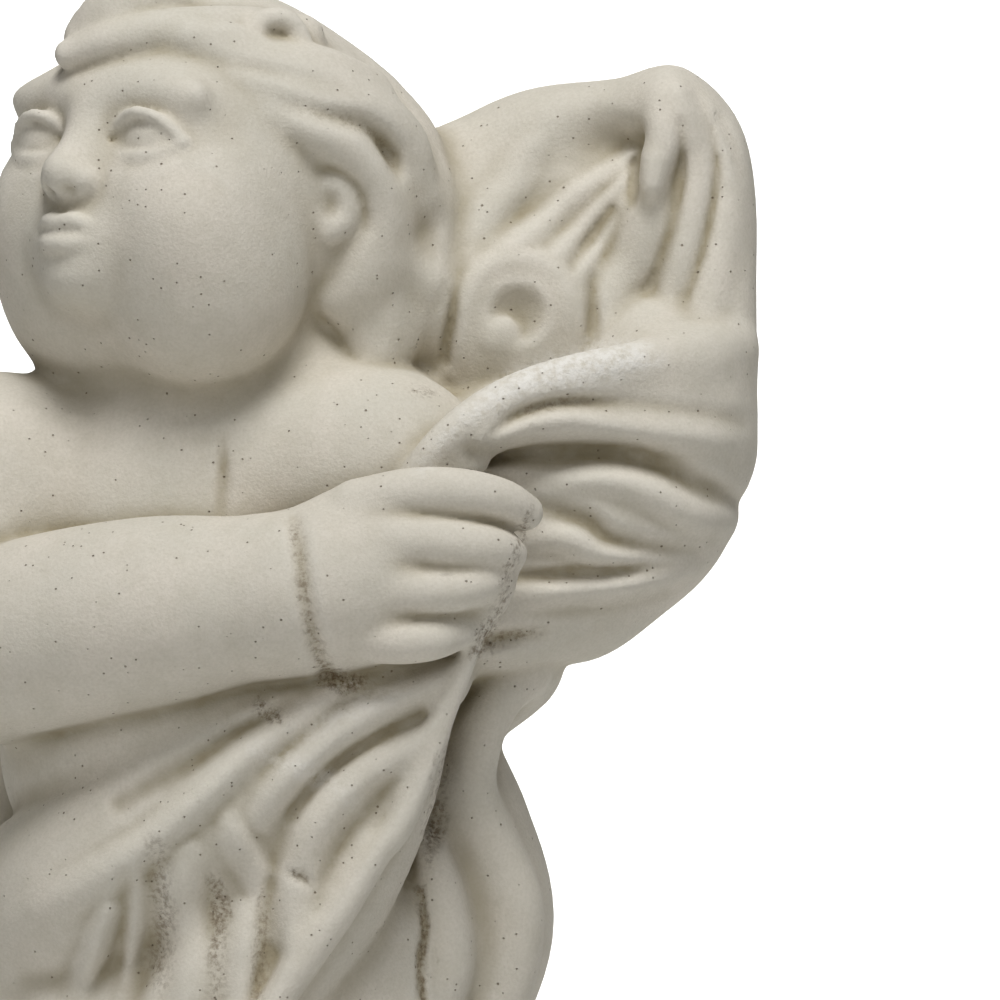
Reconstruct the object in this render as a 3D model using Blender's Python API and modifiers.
"""Cherub garden statue, cast in one piece with its low plinth.

A chubby small child stands wrapped in a great cloth. The right arm crosses the body and grips
the cloth at the left side. Behind the hand the cloth bellies out, rises to a knot beside the head and
falls to the plinth behind the legs. A flap of it crosses the loins to the right hip.

Frame: metres, +Z up, +X to the viewer's right, the figure faces -Y. The origin is the centre of the
plinth's underside.
"""
import math

import bmesh
import bpy
from mathutils import Matrix, Vector

# Driving sizes, in metres
FIGURE_HEIGHT = 0.630          # from the soles to the crown of the hair
PLINTH_HEIGHT = 0.035
PLINTH_MARGIN = 0.010          # of plinth left free around the feet and the fallen cloth
PLINTH_CORNER = 0.018          # radius of the plinth's upright corners
PLINTH_ARRIS = 0.003           # the worn round of the plinth's other edges

# The carving's places are written in carving units, of which the figure is 630 tall.
# x runs to the viewer's right, y to the back, z up from the soles.
UNITS_IN_FIGURE = 630
UNIT = FIGURE_HEIGHT / UNITS_IN_FIGURE

# The ground that the feet and the fallen cloth cover, in carving units
STANCE_LEFT, STANCE_RIGHT = -92, 108
STANCE_FRONT, STANCE_BACK = -84, 88

# How fine the solid is
CLAY_VOXEL = 0.0035            # grid on which the pressed-on forms are fused
SMOOTHING_PASSES = 4
FIGURE_TRIANGLES = 9200

# Cast stone of the photograph
STONE_COLOUR = (0.58, 0.56, 0.51, 1.0)
STONE_ROUGHNESS = 0.82

# The head's own axes: it is turned to the right shoulder and lifted
HEAD_TURN = math.radians(40)
HEAD_LIFT = math.radians(14)
HEAD_CENTRE = Vector((-10, -8, 563.4))
FACE_FORWARD = Vector((
    -math.sin(HEAD_TURN) * math.cos(HEAD_LIFT),
    -math.cos(HEAD_TURN) * math.cos(HEAD_LIFT),
    math.sin(HEAD_LIFT),
))
FACE_RIGHT = Vector((-math.cos(HEAD_TURN), math.sin(HEAD_TURN), 0))
FACE_UP = FACE_RIGHT.cross(FACE_FORWARD)
HEAD_AXES = (FACE_RIGHT, FACE_FORWARD, FACE_UP)
UPRIGHT_AXES = (Vector((1, 0, 0)), Vector((0, 1, 0)), Vector((0, 0, 1)))

POINTS_PER_SPAN = 4            # of the smooth line drawn through a roll's own points


class Clay:
    """The forms pressed together to make the figure: stretched balls, and rolls of changing thickness."""

    def __init__(self):
        self.balls = bmesh.new()
        sphere = bmesh.new()
        bmesh.ops.create_uvsphere(sphere, u_segments=24, v_segments=14, radius=1)
        self.sphere = bpy.data.meshes.new("sphere")
        sphere.to_mesh(self.sphere)
        sphere.free()
        self.rolls = bpy.data.curves.new("rolls", "CURVE")
        self.rolls.dimensions = "3D"
        self.rolls.bevel_depth = 1.0       # so that a point's radius is the roll's radius in metres
        self.rolls.bevel_resolution = 2
        self.rolls.use_fill_caps = True

    def ball(self, centre, radii, axes=UPRIGHT_AXES):
        """A sphere with these three radii along its axes."""
        turn = Matrix([list(axis) for axis in axes]).transposed().to_4x4()
        stretch = Matrix.Diagonal((*(r * UNIT for r in radii), 1))
        place = Matrix.Translation(Vector(centre) * UNIT)
        pressed = self.sphere.copy()
        pressed.transform(place @ turn @ stretch)
        self.balls.from_mesh(pressed)
        bpy.data.meshes.remove(pressed)

    def roll(self, points):
        """A round roll through points (x, y, z, radius), closed by a ball at each end."""
        line = smooth_line(points)
        spline = self.rolls.splines.new("POLY")
        spline.points.add(len(line) - 1)
        for point, (x, y, z, radius) in zip(spline.points, line):
            point.co = (x * UNIT, y * UNIT, z * UNIT, 1)
            point.radius = radius * UNIT
        for x, y, z, radius in (line[0], line[-1]):
            self.ball((x, y, z), (radius,) * 3)

    def to_mesh(self):
        """Every form as one mesh of closed, overlapping shells."""
        curve = bpy.data.objects.new("rolls", self.rolls)
        bpy.context.scene.collection.objects.link(curve)
        bpy.context.view_layer.update()
        tubes = bpy.data.meshes.new_from_object(
            curve.evaluated_get(bpy.context.evaluated_depsgraph_get())
        )
        self.balls.from_mesh(tubes)
        bpy.data.objects.remove(curve)
        bpy.data.meshes.remove(tubes)
        bmesh.ops.remove_doubles(self.balls, verts=self.balls.verts, dist=1e-6)
        mesh = bpy.data.meshes.new("forms")
        self.balls.to_mesh(mesh)
        self.balls.free()
        return mesh


def smooth_line(points):
    """Catmull-Rom points through (x, y, z, radius) points, the ends carried on straight."""
    own = [Vector(point) for point in points]
    own = [2 * own[0] - own[1], *own, 2 * own[-1] - own[-2]]
    line = []
    for before, start, end, after in zip(own, own[1:], own[2:], own[3:]):
        for step in range(POINTS_PER_SPAN):
            t = step / POINTS_PER_SPAN
            line.append(0.5 * (
                2 * start
                + (end - before) * t
                + (2 * before - 5 * start + 4 * end - after) * t**2
                + (3 * start - before - 3 * end + after) * t**3
            ))
    return line + [own[-2]]


def on_head(right, forward, up):
    """A place given from the middle of the head, in carving units."""
    return HEAD_CENTRE + FACE_RIGHT * right + FACE_FORWARD * forward + FACE_UP * up


def head(clay):
    """A child's round head: skull, full cheeks and jowls, small nose, chin and ear."""
    clay.ball(on_head(0, -6, 4), (57, 62, 58), HEAD_AXES)
    clay.ball(on_head(0, 10, -20), (50, 48, 50), HEAD_AXES)
    for side in (-1, 1):
        clay.ball(on_head(side * 28, 30, -27), (26, 26, 26), HEAD_AXES)      # cheek
        clay.ball(on_head(side * 21, 13, -43), (35, 34, 35), HEAD_AXES)      # jowl
        clay.ball(on_head(side * 21, 52, 12), (20, 8, 6), HEAD_AXES)         # brow
        clay.ball(on_head(side * 6.5, 61, -21), (5.5, 6, 5), HEAD_AXES)      # nostril
    clay.ball(on_head(0, 52, -51), (12, 10, 9), HEAD_AXES)                   # chin
    clay.ball(on_head(0, 48, -38), (19, 15, 13), HEAD_AXES)                  # around the mouth
    nose = ((0, 54, 2, 5), (0, 60, -8, 6), (0, 66, -19, 8))
    clay.roll([(*on_head(*place), radius) for *place, radius in nose])
    lips = ((-36.5, 60), (-42, 60))
    for up, forward in lips:
        mouth = ((-11, forward - 4), (0, forward + 1), (11, forward - 4))
        clay.roll([(*on_head(right, reach, up), 3) for right, reach in mouth])
    clay.roll([(30, -46, 556.5, 3), (35, -48, 559.5, 4), (40.5, -46, 556, 4.5), (42, -45, 549.5, 4.5),
               (39.5, -45.5, 543, 4.5), (34.5, -47, 539, 4), (30.5, -48, 540, 3.5)])


def hair(clay):
    """A cap of hair swept back from the brow, with a forelock and wavy locks down to the nape."""
    clay.ball((4, 6, 553.5), (62, 60, 62))
    clay.roll([(50, -4, 566, 20), (57, -6, 548, 20), (55, -12, 525, 19), (50, -18, 503, 12), (50, -22, 487, 6)])
    clay.roll([(-44, 6, 560, 30), (-46, 10, 530, 26), (-40, 12, 508, 18)])
    clay.roll([(2, 34, 560, 36), (4, 32, 525, 34), (6, 28, 498, 24)])
    swept = (
        [(-52, -46, 598, 6), (-34, -50, 606, 7), (-14, -46, 609, 7), (6, -36, 608, 7.5), (24, -26, 606, 8)],
        [(-12, -50, 604, 4), (0, -48, 600, 6), (14, -44, 597.5, 8), (30, -36, 597, 10), (44, -22, 592, 12)],
        [(4, -52, 593, 3), (14, -52, 590, 4.5), (28, -49, 587.5, 6), (44, -42, 584, 7.5), (56, -32, 573, 8),
         (60, -26, 556, 8)],
        [(16, -54, 579.5, 3), (28, -53, 576.5, 5), (40, -48, 571, 6), (48, -43, 560, 6.5), (51, -40, 546, 6.5),
         (46, -38, 532, 6), (38, -36, 521, 4)],
        [(36, -34, 519, 3.5), (44, -33, 527, 5), (54, -30, 531, 6), (64, -22, 526, 6)],
    )
    for lock in swept:
        clay.roll(lock)
    clay.ball((-34, -20, 606), (20, 20, 16))
    clay.roll([(-46, -34, 606, 8), (-36, -38, 617, 9), (-22, -34, 620, 8), (-14, -28, 613, 6)])
    locks_at_the_nape(clay)


def locks_at_the_nape(clay):
    """Nine locks that run from the crown down the back of the head, each in a slow wave."""
    count, first, spread = 9, math.radians(-40), math.radians(28)
    course = ((0.35, 612, 6), (0.8, 590, 9), (1.0, 558, 11), (0.97, 526, 11), (0.8, 500, 9))
    for number in range(count):
        lock = []
        for reach, height, radius in course:
            angle = first + spread * number + 0.16 * math.sin(height / 9)
            lock.append((4 + 60 * reach * math.cos(angle), 10 + 58 * reach * math.sin(angle), height, radius))
        clay.roll(lock)


def torso(clay):
    """Neck, chest, round belly, hips and shoulders."""
    clay.roll([(-4, 4, 478, 46), (-6, 0, 505, 38), (-6, 4, 530, 38)])
    clay.roll([(-4, 2, 488, 44), (20, -8, 482, 36), (40, -22, 474, 32)])
    clay.ball((-14, -6, 440), (72, 50, 56))
    clay.ball((-11, -12, 405), (68, 54, 58))
    clay.ball((-8, -14, 372), (68, 60, 62))
    clay.ball((-2, -8, 342), (70, 58, 56))
    clay.ball((6, 2, 312), (74, 58, 52))
    clay.ball((40, -30, 462), (42, 32, 34))
    clay.roll([(52, -30, 460, 34), (62, -40, 420, 32), (58, -50, 390, 30)])
    clay.ball((-72, -14, 458), (33, 32, 33))
    clay.ball((-48, -8, 468), (36, 34, 30))
    clay.roll([(-82, -18, 462, 32), (-92, -34, 425, 31), (-88, -52, 400, 30)])


def arm_across(clay):
    """The right forearm and the fist that holds the cloth: palm and four fingers."""
    clay.roll([(-86, -46, 402, 30), (-62, -58, 409, 32), (-25, -68, 416, 31.5), (6, -73, 420.5, 27),
               (24, -75, 422, 25), (34, -77, 425, 24)])
    clay.ball((42, -77, 428), (25, 19, 30))
    clay.ball((72, -72, 431), (24, 14, 26))
    fingers = (
        [(44, -81, 451, 9), (60, -85, 455, 8.4), (76, -86, 455.5, 8), (90, -81, 453, 7.2), (98, -74, 449, 6.2)],
        [(44, -88, 438, 9), (60, -92, 439.5, 8.6), (75, -92, 438.5, 8.2), (87, -86, 437, 7.2),
         (93, -79, 435.5, 6)],
        [(46, -90, 424, 8.5), (60, -94, 423.5, 8), (73, -93, 423.5, 7.4), (83, -87, 425.5, 6.6),
         (88.5, -80, 427, 5.6)],
        [(46, -86, 408, 8), (57, -89, 407, 7.6), (67, -89, 407.5, 7), (75, -84, 409.5, 6), (81, -78, 411.5, 5)],
    )
    for finger in fingers:
        clay.roll(finger)


def legs(clay):
    """Plump legs and bare feet: the left one bears the weight, the right one is bent forward."""
    clay.roll([(34, -12, 300, 46), (37, -22, 250, 43), (38, -27, 205, 36), (38, -28, 178, 31),
               (39, -20, 140, 31), (40, -14, 105, 28), (40, -8, 62, 20.5), (40, -6, 22, 20)])
    clay.roll([(-34, -14, 298, 45), (-41, -36, 250, 42), (-45, -49, 208, 35), (-46, -50, 184, 30.5),
               (-48, -38, 146, 30), (-50, -26, 108, 27), (-52, -16, 62, 20), (-52, -14, 22, 19)])
    for knee in ((36, -50, 184), (-46, -70, 194)):
        clay.ball(knee, (19, 12, 18))
    foot(clay, Vector((40, 4, 13)), Vector((48, -60, 9)), big_toe=-1)
    foot(clay, Vector((-52, -4, 13)), Vector((-64, -66, 9)), big_toe=1)


def foot(clay, heel, ball_of_foot, big_toe):
    """One foot from heel to ball, with five toes in an arc; big_toe is the side of the largest."""
    instep = heel.lerp(ball_of_foot, 0.5) + Vector((0, 0, 3))
    clay.roll([(*heel, 14), (*instep, 15), (*ball_of_foot, 11)])
    along = (ball_of_foot - heel).normalized()
    along.z = 0
    across = Vector((-along.y, along.x, 0))
    toe_gap, toes = 5.2, 5
    for number in range(toes):
        offset = (number - (toes - 1) / 2) * toe_gap
        radius = 4.2 + (1.8 if offset * big_toe == (toes - 1) / 2 * toe_gap else 0)
        root = ball_of_foot + across * offset + along * (8 - 0.06 * offset**2)
        clay.roll([(*(root - along * 6), radius), (*(root + along * 4 - Vector((0, 0, 2))), radius)])


def veil(clay):
    """The cloth beside the head: it hangs from a knot and fans out in gathered folds."""
    clay.ball((112, 22, 536), (60, 30, 54))
    clay.ball((78, 16, 520), (34, 34, 50))
    clay.ball((92, 22, 470), (52, 30, 76))
    clay.ball((76, 0, 462), (34, 34, 26))
    clay.roll([(66, 16, 560, 14), (86, 16, 564, 15), (104, 12, 575, 14), (124, 8, 581, 12), (146, 0, 583, 12)])
    clay.roll([(146, 0, 584, 12), (158, 0, 574, 14), (161.5, 0, 552, 15), (161, -4, 525, 16), (159, -10, 495, 18),
               (157, -12, 470, 20)])
    clay.ball((148, 0, 540), (20, 15, 32))
    clay.ball((118, 22, 486), (50, 34, 62))
    fan = (
        [(147, -6, 591, 4), (146, -10, 584, 6), (146, -12, 572, 6), (144, -14, 556, 6)],
        [(140, -6, 578, 4), (126, -10, 568, 5), (112, -12, 555, 6), (96, -14, 541, 6), (84, -14, 532, 5)],
        [(140, -8, 572, 4), (132, -12, 564, 4.5), (121, -14, 547, 5.5), (108, -14, 532, 5)],
        [(141, -12, 560, 5), (138, -15, 552, 6), (133, -16, 530, 8), (126, -16, 508, 9)],
        [(152, -8, 582, 5), (158, -14, 566, 6), (157, -16, 548, 7), (148, -18, 520, 7), (142, -20, 505, 7)],
        [(155, -4, 584, 5), (162, -8, 568, 6), (165, -10, 550, 6.5), (160, -14, 528, 7), (152, -20, 510, 7)],
        [(98, 0, 573, 8), (88, -6, 558, 8), (78, -8, 544, 8)],
        [(116, 0, 576, 7), (106, -8, 562, 7), (94, -10, 548, 7)],
        # at the back
        [(140, 20, 572, 8), (112, 40, 530, 9), (84, 52, 470, 10), (62, 60, 400, 10)],
        [(154, 12, 560, 8), (134, 36, 510, 9), (112, 42, 460, 10), (84, 52, 390, 10)],
        [(112, 34, 572, 8), (84, 46, 530, 9), (56, 56, 480, 10)],
    )
    for fold in fan:
        clay.roll(fold)
    # a looped fold low in the hollow, and the edge that runs from it to the shoulder
    clay.ball((97, -9, 512), (24, 14, 24))
    clay.roll([(79, -20, 498, 5), (78, -21, 514, 6), (85, -21, 528, 6), (98, -21, 533, 6), (111, -21, 528, 6),
               (118, -20, 514, 6), (118, -20, 500, 5)])
    clay.ball((90, -20, 508), (7, 6, 7))
    clay.roll([(73, -16, 531, 4), (70, -20, 517, 5), (63, -24, 503, 5), (56, -26, 489, 4)])


def fall(clay):
    """The cloth drawn forward to the fist, with a rolled rim above and deep folds below it."""
    clay.ball((108, -10, 450), (58, 44, 46))
    clay.ball((143, -6, 474), (32, 38, 48))
    clay.roll([(60, -40, 420, 22), (86, -30, 418, 24), (112, -16, 425, 26)])
    clay.roll([(62, -68, 461, 4), (68, -68, 470, 4.5), (78, -66, 479.5, 5), (90, -62, 487.5, 5),
               (104, -57, 493, 5), (121, -52, 497, 5.5), (137, -46, 498.5, 6), (154, -34, 500, 7.5),
               (166, -16, 505, 9)])
    clay.roll([(66, -62, 456, 7), (86, -58, 474, 8), (110, -50, 482, 9), (138, -38, 484, 10), (158, -22, 486, 11)])
    folds = (
        [(84, -58, 473, 5), (102, -57, 478, 6.5), (120, -54, 478.5, 7.5), (142, -44, 477, 8), (158, -28, 474, 9),
         (168, -8, 473, 8)],
        [(106, -56, 458, 5), (118, -56, 461, 7.5), (134, -51, 459, 8), (148, -42, 451, 8), (156, -28, 447, 8)],
        [(92, -60, 437, 5), (106, -58, 439, 6.5), (122, -54, 435, 6), (136, -48, 433, 4)],
        [(84, -60, 417, 5), (104, -57, 422, 7), (126, -50, 425, 8), (142, -38, 430, 8), (150, -22, 434, 8)],
    )
    for fold in folds:
        clay.roll(fold)


def fall_behind_hip(clay):
    """The cloth below the bellied fall, drawn in at the waist, out over the hip and down to the plinth."""
    clay.roll([(88, -6, 402, 24), (73, -6, 386, 22), (66, -2, 366, 26), (69, 0, 340, 32), (73, 2, 314, 35),
               (67, 4, 290, 34), (60, 8, 262, 32), (56, 14, 200, 34), (60, 20, 130, 38), (64, 24, 60, 42),
               (66, 24, 22, 44)])
    clay.roll([(98, -26, 396, 8), (90, -30, 388, 8), (83, -30, 374, 8), (81, -28, 356, 8), (88, -26, 338, 8),
               (95, -24, 318, 9), (93, -22, 296, 9), (84, -20, 268, 9), (80, -18, 220, 9), (86, -16, 150, 9),
               (92, -16, 80, 10), (96, -16, 4, 11)])
    clay.roll([(66, -38, 340, 5), (70, -38, 322, 8), (72, -36, 300, 9), (66, -34, 280, 9), (62, -30, 250, 8)])


def flap(clay):
    """The cloth below the fist: it crosses the loins to the right hip and falls there to the plinth."""
    clay.roll([(66, -60, 400, 14), (34, -56, 378, 26), (-6, -50, 350, 34), (-44, -38, 324, 36),
               (-66, -10, 308, 33), (-62, 20, 312, 30)])
    clay.roll([(62, -62, 392, 14), (46, -56, 355, 22), (22, -52, 318, 28), (-6, -50, 284, 30), (-30, -46, 256, 28)])
    clay.roll([(-58, -18, 310, 34), (-68, -8, 260, 28), (-70, 4, 190, 27), (-68, 10, 110, 29), (-66, 12, 26, 30)])
    folds = (
        [(81, -78, 405, 3), (70, -80, 380, 4.5), (58, -80, 349, 5), (49, -80, 337, 5), (37, -81, 318, 5),
         (20, -81, 295, 5), (2, -82, 268, 5.5), (-18, -82, 244, 6), (-40, -78, 228, 6)],
        [(72, -84, 398, 5), (62, -88, 391, 6), (47, -88, 383, 6.5), (33, -86, 373, 7), (20, -84, 361, 7),
         (11, -82, 349, 6)],
        [(62, -80, 378, 5), (50, -82, 366, 7), (38, -82, 353, 9), (28, -80, 340, 10), (22, -78, 326, 9)],
        [(36, -84, 388, 4), (18, -86, 378, 6), (2, -85, 366, 7), (-14, -84, 352, 8), (-32, -80, 338, 9),
         (-58, -66, 322, 10)],
        [(-14, -82, 336, 5), (-12, -84, 322, 5), (-10, -84, 308, 5), (-10, -82, 290, 5), (-20, -80, 266, 6)],
        [(24, -84, 398, 3), (0, -82, 390, 5), (-24, -78, 384, 6), (-52, -68, 376, 7), (-76, -46, 368, 8)],
        [(-38, -78, 318, 6), (-46, -74, 296, 7), (-56, -66, 270, 7), (-66, -54, 240, 7)],
        # down the right side
        [(-78, -40, 312, 8), (-86, -34, 262, 8), (-90, -22, 190, 8), (-84, -18, 110, 9), (-89, -18, 24, 10)],
        [(-65, -44, 312, 8), (-73, -32, 262, 8), (-77, -26, 190, 8), (-71, -22, 110, 9), (-76, -23, 24, 10)],
    )
    for fold in folds:
        clay.roll(fold)


def cloth_down_the_back(clay):
    """Three broad falls of cloth from shoulders to plinth, and nine upright folds over them."""
    clay.roll([(60, 24, 500, 26), (52, 34, 400, 34), (46, 38, 300, 36), (45, 40, 200, 38), (46, 42, 100, 40),
               (48, 42, 24, 41)])
    clay.roll([(12, 24, 490, 26), (6, 38, 400, 36), (0, 42, 300, 38), (-2, 44, 200, 38), (-4, 44, 100, 40),
               (-4, 44, 24, 41)])
    clay.roll([(-50, 14, 470, 30), (-58, 26, 390, 30), (-58, 32, 300, 32), (-56, 38, 200, 34), (-54, 40, 100, 36),
               (-54, 40, 24, 37)])
    count, leftmost, pitch = 9, -74, 19
    for number in range(count):
        across = leftmost + pitch * number
        sway = 6 * math.sin(number * 2.1)
        back = 72 - 0.004 * (across - 10) ** 2
        top = 470 - 10 * abs(number - 4)
        clay.roll([(across * 0.8 + 14, back - 22, top, 7), (across + sway, back - 2, 380, 9),
                   (across - sway, back + 4, 280, 10), (across + sway * 0.6, back + 6, 180, 10),
                   (across - sway * 0.5, back + 8, 90, 11), (across, back + 8, 6, 12)])


def largest_shell(mesh):
    """Deletes every shell of the mesh but the largest, and with them any hollow sealed inside the stone."""
    work = bmesh.new()
    work.from_mesh(mesh)
    unseen = set(work.verts)
    shells = []
    while unseen:
        shell, front = set(), [unseen.pop()]
        while front:
            vertex = front.pop()
            shell.add(vertex)
            near = [edge.other_vert(vertex) for edge in vertex.link_edges]
            fresh = [other for other in near if other in unseen]
            unseen.difference_update(fresh)
            front.extend(fresh)
        shells.append(shell)
    shells.sort(key=len)
    for shell in shells[:-1]:
        bmesh.ops.delete(work, geom=list(shell), context="VERTS")
    work.to_mesh(mesh)
    work.free()


def evaluated_mesh(thing):
    """The object's mesh with its modifiers applied."""
    bpy.context.view_layer.update()
    graph = bpy.context.evaluated_depsgraph_get()
    return bpy.data.meshes.new_from_object(thing.evaluated_get(graph))


def fused_figure(collection):
    """The figure as one closed skin over its forms, placed on the plinth's top."""
    clay = Clay()
    for carve in (head, hair, torso, arm_across, legs, veil, fall, fall_behind_hip, flap, cloth_down_the_back):
        carve(clay)
    figure = bpy.data.objects.new("cherub_statue", clay.to_mesh())
    collection.objects.link(figure)

    fuse = figure.modifiers.new("fuse", "REMESH")
    fuse.mode = "VOXEL"
    fuse.voxel_size = CLAY_VOXEL
    fuse.adaptivity = 0
    soften = figure.modifiers.new("soften", "SMOOTH")
    soften.factor = 0.5
    soften.iterations = SMOOTHING_PASSES
    skin = evaluated_mesh(figure)
    largest_shell(skin)
    figure.modifiers.clear()
    figure.data = skin

    middle = Vector(((STANCE_LEFT + STANCE_RIGHT) / 2, (STANCE_FRONT + STANCE_BACK) / 2, 0))
    figure.data.transform(Matrix.Translation(Vector((0, 0, PLINTH_HEIGHT)) - middle * UNIT))
    return figure


def box(name, collection, low, high):
    """A plain box between two corners, with its origin at its middle."""
    bpy.ops.mesh.primitive_cube_add(size=1)
    made = bpy.context.active_object
    made.name = name
    low, high = Vector(low), Vector(high)
    made.data.transform(Matrix.Diagonal((*(high - low), 1)))
    made.location = (low + high) / 2
    for old in list(made.users_collection):
        old.objects.unlink(made)
    collection.objects.link(made)
    made.hide_render = True
    made.display_type = "WIRE"
    return made


def plinth(collection):
    """The low slab under the feet, with round corners and a worn arris."""
    half_width = (STANCE_RIGHT - STANCE_LEFT) / 2 * UNIT + PLINTH_MARGIN
    half_depth = (STANCE_BACK - STANCE_FRONT) / 2 * UNIT + PLINTH_MARGIN
    slab = box("plinth_guide", collection, (-half_width, -half_depth, 0), (half_width, half_depth, PLINTH_HEIGHT))
    work = bmesh.new()
    work.from_mesh(slab.data)
    upright = [edge for edge in work.edges if abs(edge.verts[0].co.z - edge.verts[1].co.z) > PLINTH_HEIGHT / 2]
    bmesh.ops.bevel(work, geom=upright, offset=PLINTH_CORNER, segments=5, profile=0.5, affect="EDGES")
    work.to_mesh(slab.data)
    work.free()
    arris = slab.modifiers.new("arris", "BEVEL")
    arris.width = PLINTH_ARRIS
    arris.segments = 2
    arris.limit_method = "ANGLE"
    arris.angle_limit = math.radians(60)
    return slab


def statue(parts, guides):
    """The figure with its skin thinned, cut flat inside the plinth's top and joined to the plinth."""
    figure = fused_figure(parts)
    reach = FIGURE_HEIGHT
    below = box("ground_cutter", guides, (-reach, -reach, -reach), (reach, reach, PLINTH_HEIGHT / 2))

    figure.data.calc_loop_triangles()
    thin = figure.modifiers.new("thin", "DECIMATE")
    thin.ratio = FIGURE_TRIANGLES / len(figure.data.loop_triangles)
    thin.use_collapse_triangulate = True
    cut = figure.modifiers.new("flat_foot", "BOOLEAN")
    cut.operation = "DIFFERENCE"
    cut.object = below
    join = figure.modifiers.new("plinth", "BOOLEAN")
    join.operation = "UNION"
    join.object = plinth(guides)
    whole = evaluated_mesh(figure)
    largest_shell(whole)
    figure.modifiers.clear()
    figure.data = whole
    return figure


def stone():
    """Pale cast stone, matt and a little warm."""
    material = bpy.data.materials.new("cast_stone")
    material.use_nodes = True
    shader = material.node_tree.nodes["Principled BSDF"]
    shader.inputs["Base Color"].default_value = STONE_COLOUR
    shader.inputs["Roughness"].default_value = STONE_ROUGHNESS
    shader.inputs["Metallic"].default_value = 0.0
    return material


def main():
    for old in list(bpy.data.objects):
        bpy.data.objects.remove(old)
    parts = bpy.data.collections.new("cherub_garden_statue")
    guides = bpy.data.collections.new("guides")
    for collection in (parts, guides):
        bpy.context.scene.collection.children.link(collection)
    figure = statue(parts, guides)
    figure.data.materials.clear()
    figure.data.materials.append(stone())


main()
